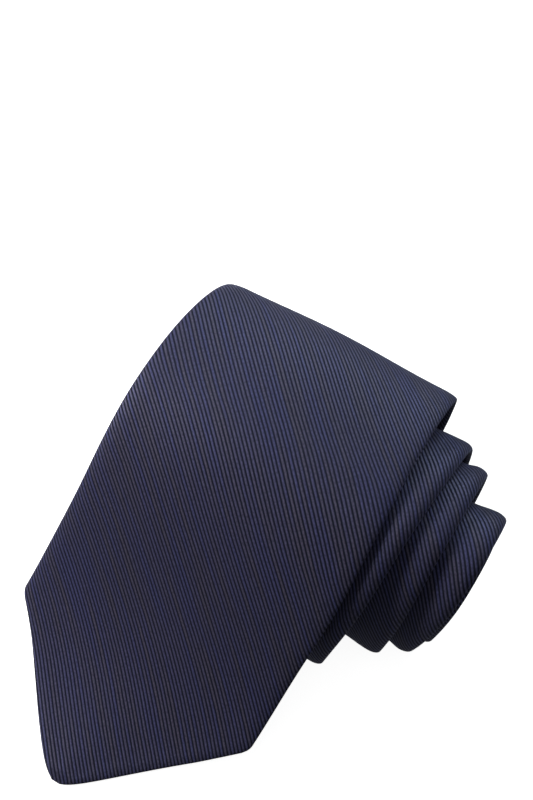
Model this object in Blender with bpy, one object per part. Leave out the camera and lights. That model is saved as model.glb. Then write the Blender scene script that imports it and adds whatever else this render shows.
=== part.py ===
"""Necktie, rolled up from its narrow end with the wide blade laid over the front of the roll.

The tie is one long flat tube of cloth, folded round an interlining and closed up its back. It is
laid out as a strip (length from the tip, offset from the middle) and wound on a profile that runs
from the tip on the table, up over the roll and round to the centre of the coil. Every fold line is
parallel to X; the tip points to -Y; the coil creeps to +X as it goes inwards.
"""

import bmesh
import bpy
import numpy as np

OBJECT = "necktie"

# The strip, in metres
BLADE_WIDTH = 0.085
BLADE_TAPER = 0.055
NECK_WIDTH = 0.036
TAIL_WIDTH = 0.044
TAIL_FLARE = 0.045
TIP_ROUND = 0.0057
TIP_SLOPE = 0.907
TAIL_ROUND = 0.002
END_CUT = 0.00025
THICKNESS = 0.00145
SHELL_WALL = 0.00033
HEM = 0.010
SEAM_GAP = 0.00030
FLAP_LEAST = 0.00002
SLIT_LEAST = 0.00010
FRONT_KITE_END = 0.104
TAIL_KITE_LENGTH = 0.034

# Layers between the shell's two walls, as levels from the middle of the strip towards its face
INTERLINING_LEVELS = (-0.00012, 0.00030)
TIPPING_LEVELS = (-0.00032, -0.00020)
INTERLINING_MARGIN = 0.0012
TIPPING_MARGIN = 0.0016
LAYER_HALF_LEAST = 0.0005

# The cuts along the strip
LIFT_LINE = 0.1133
SEAM_TO_NECK = 0.540
SEAM_TO_TAIL = 0.960
HALF_CUT = 0.0002

# The roll's profile
ROLL_HEIGHT = 0.058
WRAP_PITCH = 0.0018
FRONT_PITCH = 0.0019
TOP_SLACK = 0.0012
BACK_FOLDS = (-0.0018, -0.0150, -0.0203, -0.0306, -0.0390)
FRONT_FOLDS = (-0.0868, -0.0757, -0.0712, -0.0662)
FRONT_FOLD_HEIGHTS = (0.0120, 0.0145, 0.0165, 0.0180)
FRONT_FOLD_RISE = 0.0008
OUTER_TOP = -0.0470
CORE_MIDDLE = -0.0500
FLAT_BASE = 0.022
BACK_RISE = 0.002
FOLD_FULLNESS = 2.3
FRONT_SLOPE_FULLNESS = (1.75, 1.85)
FRONT_UNDER_FULLNESS = 2.0
CORE_LEAST = 0.005
TIP_BACK = 0.1575
TIP_FLAT = 0.006
SLOPE_FOOT = 0.060
SLOPE_HEAD = 0.0395

# Skew of the strip on the roll: degrees off square at these lengths from the tip
SKEW_AT = (0.0, 0.03, 0.06, 0.10, 0.13, 0.165, 0.20, 0.25, 0.32, 0.41)
SKEW_AT += (0.50, 0.59, 0.67, 0.74, 0.80, 0.865, 0.92, 0.97, 1.15, 1.25)
SKEW_DEG = (3.0, 6.0, 4.7, 4.3, -0.6, 3.8, 0.6, 2.9, 7.6, 5.3)
SKEW_DEG += (3.2, 4.1, 8.9, -2.2, 4.9, -2.3, 2.2, 0.9, -1.7, -0.8)

# Small pieces on the back of the strip
KEEPER_AT = (0.150, 0.159)
KEEPER_HALF = 0.024
KEEPER_THICK = 0.0005
KEEPER_BULGE = 0.0016
LABEL_AT = (0.172, 0.200)
LABEL_HALF = 0.008
LABEL_THICK = 0.0002
BACK_CLEAR = 0.00008
TACK_HALF = 0.004
TACK_LENGTH = 0.0012
TACK_THICK = 0.00015
THREAD_RADIUS = 0.0001
LINING_STITCH_CLEAR = 0.0001
LINING_STITCH_INSET = 0.0006
LINING_STITCH_FROM = 0.0025
STITCH_END = 0.001
ROW_IN = 0.0015
LABEL_STITCH_CLEAR = 0.00003
KEEPER_STITCH_CLEAR = 0.00012

# How finely the strip is laid out and meshed
FINE_STEP = 0.001
ARC_POINTS = 4
TURN_STEP = np.radians(18.0)
LONGEST_STEP = 0.010
LEAST_STEP = 0.0007
STRIP_STEP = 0.0002
MARK_CLEAR = 0.00005
TIP_STATIONS = (0.0008, 0.0020, 0.0045, 0.0145)
INTERLINING_START = 0.006
TIPPING_START = 0.008


def fold_list(values, step, count):
    """Carries a list of fold figures on to count entries with a steady step."""
    out = list(values)
    while len(out) < count:
        out.append(out[-1] + step)
    return out


def wrap_points():
    """Top, back fold, bottom and front fold of each wrap, from outside in: kind, y, z, fullness."""
    most = 30
    back = fold_list(BACK_FOLDS, -WRAP_PITCH, most)
    front = fold_list(FRONT_FOLDS, FRONT_PITCH, most)
    heights = fold_list(FRONT_FOLD_HEIGHTS, FRONT_FOLD_RISE, most)
    slope = fold_list(FRONT_SLOPE_FULLNESS, 0.0, most)
    points = []
    for k in range(most):
        slack = TOP_SLACK if k else 0.0
        top = ROLL_HEIGHT - THICKNESS / 2 - k * WRAP_PITCH - slack
        bottom = THICKNESS / 2 + k * WRAP_PITCH
        next_top = ROLL_HEIGHT - THICKNESS / 2 - (k + 1) * WRAP_PITCH - TOP_SLACK
        if min(back[k] - front[k], next_top - bottom) < CORE_LEAST:
            break
        points.append(("top", CORE_MIDDLE if k else OUTER_TOP, top, FOLD_FULLNESS))
        points.append(("back", back[k], (top + bottom) / 2 + BACK_RISE, FOLD_FULLNESS))
        half_base = 0.0 if k else FLAT_BASE / 2
        points.append(("bottom", CORE_MIDDLE + half_base, bottom, FRONT_UNDER_FULLNESS))
        if half_base:
            points.append(("base", CORE_MIDDLE - half_base, bottom, FRONT_UNDER_FULLNESS))
        points.append(("front", front[k], min(heights[k], (bottom + next_top) / 2), slope[k]))
    return points


def roll_profile():
    """The strip's middle surface seen along X, as y, z and outward normal at even lengths u."""
    points = wrap_points()
    t = np.linspace(0.0, 1.0, 81)[:, None]
    head = np.array(points[0][1:3])
    foot = np.array((TIP_FLAT - TIP_BACK, THICKNESS / 2))
    pull_foot = foot + np.array((SLOPE_FOOT, 0.0))
    pull_head = head - np.array((SLOPE_HEAD, 0.0))
    slope = (1 - t) ** 3 * foot + 3 * t * (1 - t) ** 2 * pull_foot
    slope = slope + 3 * t * t * (1 - t) * pull_head + t**3 * head
    pieces = [np.array(((-TIP_BACK, THICKNESS / 2),)), slope]
    q = np.linspace(0.0, np.pi / 2, 33)[1:]
    for here, after in zip(points[:-1], points[1:]):
        power = 2.0 / here[3]
        near, far = np.cos(q) ** power, np.sin(q) ** power
        if after[0] == "base":
            y = here[1] + (after[1] - here[1]) * q / q[-1]
            z = np.full_like(y, here[2])
        elif here[0] in ("top", "bottom", "base"):
            y = here[1] + (after[1] - here[1]) * far
            z = after[2] + (here[2] - after[2]) * near
        else:
            y = after[1] + (here[1] - after[1]) * near
            z = here[2] + (after[2] - here[2]) * far
        pieces.append(np.stack((y, z), axis=1))
    path = np.concatenate(pieces)
    steps = np.hypot(*np.diff(path, axis=0).T)
    path = path[np.concatenate(((True,), steps > 1e-7))]
    length = np.concatenate(((0.0,), np.cumsum(np.hypot(*np.diff(path, axis=0).T))))
    u = np.arange(0.0, length[-1], FINE_STEP)
    yz = np.stack([np.interp(u, length, path[:, i]) for i in (0, 1)], axis=1)
    weights = np.array((1.0, 2.0, 3.0, 2.0, 1.0)) / 9.0
    for _ in range(2):
        padded = np.concatenate((yz[:1], yz[:1], yz, yz[-1:], yz[-1:]))
        inner = np.stack([np.convolve(padded[:, i], weights, "valid") for i in (0, 1)], axis=1)
        inner[:2], inner[-2:] = yz[:2], yz[-2:]
        yz = inner
    u = np.concatenate(((0.0,), np.cumsum(np.hypot(*np.diff(yz, axis=0).T))))
    tangent = np.gradient(yz, u, axis=0)
    tangent /= np.linalg.norm(tangent, axis=1)[:, None]
    normal = np.stack((-tangent[:, 1], tangent[:, 0]), axis=1)
    return u, yz, normal


U, YZ, NORMAL = roll_profile()
TOTAL = U[-1]
L = np.arange(0.0, TOTAL, STRIP_STEP)
SKEW = np.radians(np.interp(L, SKEW_AT, SKEW_DEG))
U_MID = np.concatenate(((0.0,), np.cumsum(np.cos(SKEW[:-1]) * np.diff(L))))
X_MID = np.concatenate(((0.0,), np.cumsum(np.sin(SKEW[:-1]) * np.diff(L))))


def strip_end():
    """Length along the strip at which the profile is used up, less a little at the coil's centre."""
    return float(np.interp(TOTAL - 0.004, U_MID, L))


LENGTH = strip_end()


def pointed(distance, half_limit, slope, blunt):
    """Half width at a distance from a rounded point whose sides have this slope, up to half_limit."""
    distance = np.maximum(distance, 0.0)
    half = slope * np.sqrt(distance**2 + 2.0 * blunt * distance)
    blend = np.clip((half - half_limit + 0.002) / 0.004, 0.0, 1.0)
    return np.where(blend <= 0.0, half, np.where(blend >= 1.0, half_limit, half - 0.002 * blend**2))


def half_width(length):
    """Half the tie's width at a length from the tip of the wide blade."""
    to_end = LENGTH - length
    front = BLADE_WIDTH - BLADE_TAPER * np.maximum(length - BLADE_WIDTH / 2, 0.0)
    tail = TAIL_WIDTH - TAIL_FLARE * np.maximum(to_end - TAIL_WIDTH / 2, 0.0)
    body = np.maximum(np.maximum(front, tail), NECK_WIDTH) / 2
    ends = pointed(length, body, TIP_SLOPE, TIP_ROUND), pointed(to_end, body, 1.0, TAIL_ROUND)
    return np.minimum(*ends)


def opening(length):
    """Half the gap between the two folded back walls: a kite of lining at each point, then a slit."""

    def kite(distance, half, slope, blunt, end):
        mitre = HEM * np.sqrt(1.0 + slope**2)
        widest = (half - HEM + mitre) / slope - blunt
        rise = slope * (distance + blunt) - mitre
        fall = (half - HEM) * (end - distance) / (end - widest)
        return np.maximum(np.minimum(rise, fall), 0.0) + SEAM_GAP / 2

    front = kite(length, BLADE_WIDTH / 2, TIP_SLOPE, TIP_ROUND, FRONT_KITE_END)
    tail = kite(LENGTH - length, TAIL_WIDTH / 2, 1.0, TAIL_ROUND, TAIL_KITE_LENGTH)
    return np.where(length < LENGTH / 2, front, tail)


def edge_line(offset):
    """Where the line at this offset along the strip lies: u and x for every L."""
    return U_MID - offset * np.sin(SKEW), X_MID + offset * np.cos(SKEW)


ON_STRIP = (L >= END_CUT) & (L <= LENGTH - END_CUT)
LINES = {}
for line_name, line_offset in (
    ("left", -half_width(L)),
    ("right", half_width(L)),
    ("flap_left", -opening(L)),
    ("flap_right", opening(L)),
    ("middle", np.zeros_like(L)),
):
    line_u, line_x = edge_line(line_offset)
    LINES[line_name] = (line_u[ON_STRIP], line_x[ON_STRIP])


def x_of(name, u):
    """x of a named line where it crosses the fold line at u."""
    return float(np.interp(u, *LINES[name]))


def place(u, x, level):
    """A point of the wound strip: u along the profile, x across, level towards its face."""
    y, z = np.interp(u, U, YZ[:, 0]), np.interp(u, U, YZ[:, 1])
    ny, nz = np.interp(u, U, NORMAL[:, 0]), np.interp(u, U, NORMAL[:, 1])
    return (x, y + ny * level, z + nz * level)


def outline_corners():
    """Fold-line positions where the outline or the back opening changes direction."""
    found = [END_CUT, *TIP_STATIONS]
    for name in ("left", "right"):
        line_u = LINES[name][0]
        for back in (-0.002, 0.0, 0.002):
            found.append(float(np.interp(BLADE_WIDTH / 2 + back, L[ON_STRIP], line_u)))
        for back in (-0.0015, 0.0015):
            found.append(float(np.interp(LENGTH - TAIL_WIDTH / 2 + back, L[ON_STRIP], line_u)))
    return found


def turning_marks():
    """Fold-line positions each time the profile has turned through one more TURN_STEP."""
    turn = np.unwrap(np.arctan2(NORMAL[:, 1], NORMAL[:, 0]))
    found = []
    for step in np.arange(np.floor(turn.min() / TURN_STEP), np.ceil(turn.max() / TURN_STEP)):
        level = step * TURN_STEP
        for i in np.nonzero((turn[:-1] - level) * (turn[1:] - level) < 0)[0]:
            part = (level - turn[i]) / (turn[i + 1] - turn[i])
            found.append(float(U[i] + part * (U[i + 1] - U[i])))
    return found


def grid():
    """The fold lines every piece is built on, so that layers stay parallel."""
    fixed = sorted(set(CUTS))
    loose = [m for m in turning_marks() + outline_corners() if min(abs(m - f) for f in fixed) > LEAST_STEP]
    marks = sorted(fixed + loose)
    kept = [marks[0]]
    for mark in marks[1:]:
        if mark - kept[-1] > LEAST_STEP or mark in fixed:
            count = int(np.ceil((mark - kept[-1]) / LONGEST_STEP))
            kept += [kept[-1] + (mark - kept[-1]) * j / count for j in range(1, count)]
            kept.append(mark)
    return kept


TIP_START = END_CUT + 0.0001
TAIL_END = float(U_MID[ON_STRIP][-1])
FRONT_KITE = float(np.interp(FRONT_KITE_END, L, U_MID))
TAIL_KITE = float(np.interp(LENGTH - TAIL_KITE_LENGTH, L, U_MID))
INTERLINING_CUT = (SEAM_TO_NECK + SEAM_TO_TAIL) / 2
TACK_FRONT = (FRONT_KITE + 0.003, FRONT_KITE + 0.003 + TACK_LENGTH)
TACK_TAIL = (TAIL_KITE - 0.003 - TACK_LENGTH, TAIL_KITE - 0.003)
CUTS = [TIP_START, TAIL_END, FRONT_KITE, TAIL_KITE, INTERLINING_START, TIPPING_START]
CUTS += [LIFT_LINE - 0.002, TAIL_KITE - 0.008, TAIL_END - INTERLINING_START, TAIL_END - TIPPING_START]
for cut in (LIFT_LINE, SEAM_TO_NECK, SEAM_TO_TAIL, INTERLINING_CUT):
    CUTS += [cut - HALF_CUT, cut + HALF_CUT]
for pair in (KEEPER_AT, LABEL_AT, TACK_FRONT, TACK_TAIL):
    CUTS += list(np.linspace(*pair, 2 if pair[1] - pair[0] < 0.005 else 4))
GRID = grid()


def stations(start, end):
    """The grid's fold lines from start to end, with both ends."""
    inside = [mark for mark in GRID if start + MARK_CLEAR < mark < end - MARK_CLEAR]
    return [start, *inside, end]


def make_object(name, rings, closing):
    """A closed body from equal rings of points; closing pairs up each ring for its end caps."""
    mesh = bpy.data.meshes.new(name)
    bm = bmesh.new()
    rows = [[bm.verts.new(point) for point in ring] for ring in rings]
    count = len(rows[0])
    for first, second in zip(rows[:-1], rows[1:]):
        for i in range(count):
            j = (i + 1) % count
            bm.faces.new((first[i], first[j], second[j], second[i]))
    for row in (rows[0], rows[-1]):
        for a, b, c, d in closing:
            corners = [row[k] for k in dict.fromkeys((a, b, c, d))]
            bm.faces.new(corners)
    bmesh.ops.recalc_face_normals(bm, faces=bm.faces)
    if bm.calc_volume(signed=True) < 0.0:
        bmesh.ops.reverse_faces(bm, faces=bm.faces)
    bm.to_mesh(mesh)
    bm.free()
    return bpy.data.objects.new(name, mesh)


def shell(name, start, end):
    """A length of the folded cloth tube: face wall, two rolled edges and two back walls."""
    half = THICKNESS / 2
    inner = half - SHELL_WALL
    angles = np.linspace(-np.pi / 2, np.pi / 2, ARC_POINTS)
    rings = []
    for u in stations(start, end):
        left, right = x_of("left", u), x_of("right", u)
        flap_l = max(x_of("flap_left", u), left + half + FLAP_LEAST)
        flap_r = min(x_of("flap_right", u), right - half - FLAP_LEAST)
        flap_l = min(flap_l, (left + right) / 2 - SLIT_LEAST)
        flap_r = max(flap_r, (left + right) / 2 + SLIT_LEAST)
        ring = [(flap_l, -half)]
        ring += [(left + half - half * np.cos(a), half * np.sin(a)) for a in angles]
        ring += [(right - half + half * np.cos(a), half * np.sin(a)) for a in angles[::-1]]
        ring += [(flap_r, -half), (flap_r, -inner)]
        ring += [(right - half + inner * np.cos(a), inner * np.sin(a)) for a in angles]
        ring += [(left + half - inner * np.cos(a), inner * np.sin(a)) for a in angles[::-1]]
        ring.append((flap_l, -inner))
        rings.append([place(u, x, level) for x, level in ring])
    count = len(rings[0])
    closing = [(i, i + 1, count - 2 - i, count - 1 - i) for i in range(count // 2 - 1)]
    return make_object(name, rings, closing)


def sheet(name, start, end, margin, levels):
    """A flat layer inside the shell, margin in from both edges."""
    rings = []
    for u in stations(start, end):
        left, right = x_of("left", u) + margin, x_of("right", u) - margin
        if right - left < 2 * LAYER_HALF_LEAST:
            middle = (left + right) / 2
            left, right = middle - LAYER_HALF_LEAST, middle + LAYER_HALF_LEAST
        corners = ((left, levels[0]), (right, levels[0]), (right, levels[1]), (left, levels[1]))
        rings.append([place(u, x, level) for x, level in corners])
    return make_object(name, rings, [(0, 1, 2, 3)])


def strap(name, start, end, half, thick, bulge, clear, columns):
    """A tape laid across the strip's back, bowed away from it in the middle by bulge."""
    middle = x_of("middle", (start + end) / 2)
    rows = stations(start, end)
    rings = []
    for i in range(columns + 1):
        side = 2.0 * i / columns - 1.0
        lift = THICKNESS / 2 + clear + bulge * (1.0 - side * side) ** 2
        x = middle + side * half
        ring = [place(u, x, -lift) for u in rows]
        ring += [place(u, x, -lift - thick) for u in reversed(rows)]
        rings.append(ring)
    count = 2 * len(rows)
    closing = [(i, i + 1, count - 2 - i, count - 1 - i) for i in range(len(rows) - 1)]
    return make_object(name, rings, closing)


def thread(name, path, radius):
    """A thin closed thread through points given as u, x and level."""
    rings = []
    points = np.array([place(*p) for p in path])
    normals = []
    for u, _x, _level in path:
        ny, nz = np.interp(u, U, NORMAL[:, 0]), np.interp(u, U, NORMAL[:, 1])
        normals.append((0.0, ny, nz))
    run = np.gradient(points, axis=0)
    for point, along, up in zip(points, run, np.array(normals)):
        along = along / np.linalg.norm(along)
        side = np.cross(along, up)
        side /= np.linalg.norm(side)
        up = np.cross(side, along)
        ring = []
        for corner in range(4):
            angle = np.pi / 4 + corner * np.pi / 2
            ring.append(tuple(point + radius * (np.cos(angle) * side + np.sin(angle) * up)))
        rings.append(ring)
    return make_object(name, rings, [(0, 1, 2, 3)])


def tack(name, at, half):
    """A short bar of stitches across the slit in the back."""
    return strap(name, *at, half, TACK_THICK, 0.0, BACK_CLEAR, 2)


def slip_stitch(name, start, end):
    """The long thread that closes the back, lying in the slit between the back walls."""
    level = -(THICKNESS / 2 - SHELL_WALL / 2)
    path = [(u, x_of("middle", u), level) for u in stations(start, end)]
    return thread(name, path, THREAD_RADIUS)


def seam(name, cut):
    """The thread of a piecing seam, in the join between two panels, across the face wall."""
    level = THICKNESS / 2 - SHELL_WALL / 2
    left, right = x_of("left", cut), x_of("right", cut)
    inset = THICKNESS / 2
    xs = np.linspace(left + inset, right - inset, 5)
    return thread(name, [(cut, x, level) for x in xs], THREAD_RADIUS)


def lining_stitch(name):
    """The row that holds the lining to the mitred hem of the wide blade."""
    level = TIPPING_LEVELS[0] - THREAD_RADIUS - LINING_STITCH_CLEAR
    mitre = HEM * np.sqrt(1.0 + TIP_SLOPE**2) / TIP_SLOPE - TIP_ROUND
    lows = np.linspace(mitre + LINING_STITCH_FROM, BLADE_WIDTH / 2 - STITCH_END, 5)
    path = []
    for length in lows[::-1]:
        path.append((length, -(float(opening(length)) - LINING_STITCH_INSET)))
    for length in lows:
        path.append((length, float(opening(length)) - LINING_STITCH_INSET))
    placed = []
    for length, offset in path:
        skew = np.interp(length, L, SKEW)
        u = np.interp(length, L, U_MID) - offset * np.sin(skew)
        x = np.interp(length, L, X_MID) + offset * np.cos(skew)
        placed.append((float(u), float(x), level))
    return thread(name, placed, THREAD_RADIUS)


def label_stitch(name):
    """The row that holds the label at its end nearest the keeper."""
    u = LABEL_AT[0] + ROW_IN
    middle = x_of("middle", u)
    level = -(THICKNESS / 2 + BACK_CLEAR + LABEL_THICK + THREAD_RADIUS + LABEL_STITCH_CLEAR)
    xs = np.linspace(middle - LABEL_HALF + STITCH_END, middle + LABEL_HALF - STITCH_END, 4)
    return thread(name, [(u, x, level) for x in xs], THREAD_RADIUS)


def keeper_tack(name, side):
    """The stitches through one end of the keeper."""
    middle = x_of("middle", sum(KEEPER_AT) / 2) + side * (KEEPER_HALF - ROW_IN)
    level = -(THICKNESS / 2 + BACK_CLEAR + KEEPER_THICK + THREAD_RADIUS + KEEPER_STITCH_CLEAR)
    us = np.linspace(KEEPER_AT[0] + STITCH_END, KEEPER_AT[1] - STITCH_END, 4)
    return thread(name, [(u, middle, level) for u in us], THREAD_RADIUS)


def material(name, colour, roughness, sheen):
    """A plain cloth or thread surface."""
    made = bpy.data.materials.new(name)
    made.use_nodes = True
    surface = made.node_tree.nodes["Principled BSDF"]
    surface.inputs["Base Color"].default_value = (*colour, 1.0)
    surface.inputs["Roughness"].default_value = roughness
    surface.inputs["Metallic"].default_value = 0.0
    surface.inputs["Sheen Weight"].default_value = sheen
    made.diffuse_color = (*colour, 1.0)
    made.roughness = roughness
    return made


SATIN = ((0.030, 0.032, 0.075), 0.42, 0.3)
LINING = ((0.012, 0.013, 0.030), 0.35, 0.1)
WOOL = ((0.62, 0.60, 0.55), 0.95, 0.2)
THREAD = ((0.020, 0.021, 0.050), 0.55, 0.0)
TAPE = ((0.015, 0.016, 0.030), 0.50, 0.1)


def build():
    """Every piece of the tie, with its surface."""
    yield shell("front_panel_blade", TIP_START, LIFT_LINE - HALF_CUT), SATIN
    yield shell("front_panel_roll", LIFT_LINE + HALF_CUT, SEAM_TO_NECK - HALF_CUT), SATIN
    yield shell("neck_panel", SEAM_TO_NECK + HALF_CUT, SEAM_TO_TAIL - HALF_CUT), SATIN
    yield shell("tail_panel", SEAM_TO_TAIL + HALF_CUT, TAIL_END), SATIN
    wool = (INTERLINING_MARGIN, INTERLINING_LEVELS)
    yield sheet("interlining_blade", INTERLINING_START, LIFT_LINE - HALF_CUT, *wool), WOOL
    yield sheet("interlining_front", LIFT_LINE + HALF_CUT, INTERLINING_CUT - HALF_CUT, *wool), WOOL
    yield sheet("interlining_tail", INTERLINING_CUT + HALF_CUT, TAIL_END - INTERLINING_START, *wool), WOOL
    lining = (TIPPING_MARGIN, TIPPING_LEVELS)
    yield sheet("tipping_front", TIPPING_START, LIFT_LINE - 0.002, *lining), LINING
    yield sheet("tipping_tail", TAIL_KITE - 0.008, TAIL_END - TIPPING_START, *lining), LINING
    yield lining_stitch("tipping_stitch_front"), THREAD
    yield tack("bar_tack_front", TACK_FRONT, TACK_HALF), THREAD
    yield tack("bar_tack_tail", TACK_TAIL, TACK_HALF / 2), THREAD
    yield slip_stitch("slip_stitch", LIFT_LINE + 0.001, TAIL_KITE - 0.001), THREAD
    yield seam("piecing_seam_front", SEAM_TO_NECK), THREAD
    yield seam("piecing_seam_tail", SEAM_TO_TAIL), THREAD
    keeper = (KEEPER_HALF, KEEPER_THICK, KEEPER_BULGE, BACK_CLEAR, 12)
    yield strap("keeper_loop", *KEEPER_AT, *keeper), SATIN
    yield keeper_tack("keeper_tack_left", -1.0), THREAD
    yield keeper_tack("keeper_tack_right", 1.0), THREAD
    yield strap("care_label", *LABEL_AT, LABEL_HALF, LABEL_THICK, 0.0, BACK_CLEAR, 2), TAPE
    yield label_stitch("care_label_stitch"), THREAD


for old in list(bpy.data.objects):
    bpy.data.objects.remove(old)
collection = bpy.data.collections.new(OBJECT)
bpy.context.scene.collection.children.link(collection)
for piece, look in build():
    piece.data.materials.append(material("mat_" + piece.name, *look))
    collection.objects.link(piece)

corners = np.array([v.co for piece in collection.objects for v in piece.data.vertices])
low, high = corners.min(axis=0), corners.max(axis=0)
shift = np.array(((low[0] + high[0]) / 2, (low[1] + high[1]) / 2, low[2]))
for piece in collection.objects:
    for vertex in piece.data.vertices:
        vertex.co = tuple(np.array(vertex.co) - shift)
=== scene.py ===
"""Navy rep-twill necktie, rolled from its narrow end with the wide blade laid down the front.

The cloth pieces are built on the same wound strip as the CAD model: a point of the tie is given by
its length from the tip and its offset from the middle line, and the strip follows a profile whose
fold lines are parallel to X.
"""

import bpy
import numpy as np
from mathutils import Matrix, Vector


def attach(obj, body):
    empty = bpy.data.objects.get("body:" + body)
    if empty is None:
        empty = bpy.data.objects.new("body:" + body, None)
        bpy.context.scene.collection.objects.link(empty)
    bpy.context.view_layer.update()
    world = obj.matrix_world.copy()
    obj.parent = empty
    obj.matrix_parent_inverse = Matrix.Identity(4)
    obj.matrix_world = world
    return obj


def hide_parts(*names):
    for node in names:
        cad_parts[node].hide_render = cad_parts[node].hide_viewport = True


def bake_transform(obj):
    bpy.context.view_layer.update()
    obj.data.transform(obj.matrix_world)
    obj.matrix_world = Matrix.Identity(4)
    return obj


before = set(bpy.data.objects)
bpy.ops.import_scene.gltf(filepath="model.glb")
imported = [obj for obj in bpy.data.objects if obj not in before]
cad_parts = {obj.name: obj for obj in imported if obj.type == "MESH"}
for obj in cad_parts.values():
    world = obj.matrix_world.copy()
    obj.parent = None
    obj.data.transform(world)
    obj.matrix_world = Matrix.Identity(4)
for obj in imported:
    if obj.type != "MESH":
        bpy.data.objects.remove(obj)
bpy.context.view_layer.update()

# The strip and the roll, in metres: the same figures as the CAD model
BLADE_WIDTH = 0.085
BLADE_TAPER = 0.055
NECK_WIDTH = 0.036
TAIL_WIDTH = 0.044
TAIL_FLARE = 0.045
TIP_ROUND = 0.0057
TIP_SLOPE = 0.907
TAIL_ROUND = 0.002
THICKNESS = 0.00145
HEM = 0.010
SEAM_GAP = 0.00030
FRONT_KITE_END = 0.104
TAIL_KITE_LENGTH = 0.034
INTERLINING_LEVELS = (-0.00012, 0.00030)
TIPPING_LEVELS = (-0.00032, -0.00020)
INTERLINING_MARGIN = 0.0012
TIPPING_MARGIN = 0.0016
SEAM_TO_NECK = 0.540
SEAM_TO_TAIL = 0.960
ROLL_HEIGHT = 0.058
WRAP_PITCH = 0.0018
FRONT_PITCH = 0.0019
TOP_SLACK = 0.0012
BACK_FOLDS = (-0.0018, -0.0150, -0.0203, -0.0306, -0.0390)
FRONT_FOLDS = (-0.0868, -0.0757, -0.0712, -0.0662)
FRONT_FOLD_HEIGHTS = (0.0120, 0.0145, 0.0165, 0.0180)
FRONT_FOLD_RISE = 0.0008
OUTER_TOP = -0.0470
CORE_MIDDLE = -0.0500
FLAT_BASE = 0.022
BACK_RISE = 0.002
FOLD_FULLNESS = 2.3
FRONT_SLOPE_FULLNESS = (1.75, 1.85)
FRONT_UNDER_FULLNESS = 2.0
CORE_LEAST = 0.005
TIP_BACK = 0.1575
TIP_FLAT = 0.006
SLOPE_FOOT = 0.060
SLOPE_HEAD = 0.0395
SKEW_AT = (0.0, 0.03, 0.06, 0.10, 0.13, 0.165, 0.20, 0.25, 0.32, 0.41)
SKEW_AT += (0.50, 0.59, 0.67, 0.74, 0.80, 0.865, 0.92, 0.97, 1.15, 1.25)
SKEW_DEG = (3.0, 6.0, 4.7, 4.3, -0.6, 3.8, 0.6, 2.9, 7.6, 5.3)
SKEW_DEG += (3.2, 4.1, 8.9, -2.2, 4.9, -2.3, 2.2, 0.9, -1.7, -0.8)
KEEPER_AT = (0.150, 0.159)
KEEPER_HALF = 0.024
KEEPER_BULGE = 0.0016
KEEPER_WALL = 0.0006
KEEPER_CLEAR = 0.00005
LABEL_AT = (0.172, 0.200)
LABEL_HALF = 0.008
LABEL_WALL = 0.00022
LABEL_CLEAR = 0.00004
TACK_HALF = 0.004
INTERLINING_START = 0.006
TIPPING_START = 0.008
# Where the CAD model's origin lies in the strip's own coordinates
ORIGIN = np.array((0.02035, -0.07913, 0.0))

# The front blade runs on as one cloth round the back of the roll to here
BLADE_END = 0.196
# How far the front and the tail lining run in past their kites
TIPPING_PAST_KITE = (0.004, 0.008)
# Steps along the profile, as laid out and as refined, and along the strip; the path's spare end
COARSE_STEP = 0.001
FINE_STEP = 0.00025
LENGTH_STEP = 0.0002
PATH_SPARE = 0.004
MOST_WRAPS = 30

# How full the cloth is made: how far its face may stand out from the strip's middle surface, the gap
# kept to the next wrap, the reach of its rolled edges on the face and under it, the blade's crown,
# the bulge of a free right edge and the cloth's own wall
FACE_MOST = 0.00135
FACE_OUTER = 0.00125
LAYER_GAP = 0.00016
EDGE_ROLL = 0.0055
INNER_ROLL = 0.0032
EDGE_UNDER = 0.0013
CROWN = 0.0007
BULGE = 0.0009
CLOTH_WALL = 0.00030
# Points round the cloth's section: on a back wall, a quarter turn, the covered and the free face
BACK_POINTS, QUARTER_POINTS, COVERED_POINTS, FREE_POINTS = 6, 9, 13, 11
LAYER_POINTS = 25

# Slow waves that make the cloth uneven: height in metres, radians per metre, start in radians. They
# fade out in y and z below WANDER_CLEAR, so that the tie still lies flat.
WANDER_X = ((0.00035, 62, 1.1), (0.00022, 120, 41))
WANDER_Y = (0.00030, 71, 2.0)
WANDER_Z = ((0.00038, 58, 24, 0.6), (0.00022, 117, 43))
WANDER_CLEAR = 0.020

# Spacing of the ribs, of the two ways of each weave, and of the sewing thread's twist and plies
RIB_PITCH = 0.0011
LINING_WEAVE = (0.00028, 0.00032)
WOOL_WEAVE = (0.0009, 0.0010)
TAPE_WEAVE = (0.00030, 0.00022)
THREAD_TWIST = (0.00045, 0.00030)

# The threads' radii, sides and thinner ends, and for each row a stitch's length and the space after it
FINE_THREAD, LIGHT_THREAD, TACK_THREAD = 0.00007, 0.00008, 0.00009
THREAD_SIDES = 8
THREAD_END = 0.45
HEM_STITCH = (0.0010, 0.0030)
KEEPER_STITCH = (0.0012, 0.0004)
LABEL_STITCH = (0.0014, 0.0007)
SLIP_STITCH, SLIP_SPACING, SLIP_HALF = 0.0012, 0.006, 0.0004
BAR_STITCHES, BAR_PITCH = 9, 0.00015
HEM_FROM, HEM_CLEAR = 0.0165, 0.0001
SEAM_MARGIN = 0.004


# ---------------------------------------------------------------- the roll's profile

def fold_list(values, step, count):
    """Carries a list of fold figures on to count entries with a steady step."""
    out = list(values)
    while len(out) < count:
        out.append(out[-1] + step)
    return out


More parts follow.
